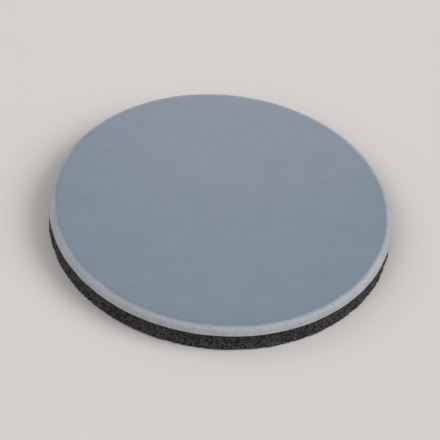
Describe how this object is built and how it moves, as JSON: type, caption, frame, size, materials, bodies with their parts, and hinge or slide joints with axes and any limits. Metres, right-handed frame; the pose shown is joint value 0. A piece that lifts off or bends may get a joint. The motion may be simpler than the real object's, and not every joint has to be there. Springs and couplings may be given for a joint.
{
  "type": "furniture glide",
  "caption": "Round self-adhesive furniture glide: thin grey-blue PTFE sliding disc with a rounded edge, bonded to a black foam pad with an adhesive face.",
  "frame": {"origin": "centre of the adhesive face, the glide's lower face as it lies before use", "axes": "+Z along the disc's axis, from the adhesive face to the sliding face; X and Y are any two directions in the face, since the glide is round"},
  "size_m": [0.025, 0.025, 0.0022],
  "materials": {
    "ptfe": "satin, waxy, filled PTFE",
    "foam": "matte black closed-cell foam, die-cut side",
    "adhesive": "glossy, clear acrylic adhesive over the black foam"
  },
  "bodies": {
    "root": {"sliding_disc": "ptfe", "bonding_adhesive": "adhesive", "foam_pad": "foam", "mounting_adhesive": "adhesive"}
  },
  "joints": []
}
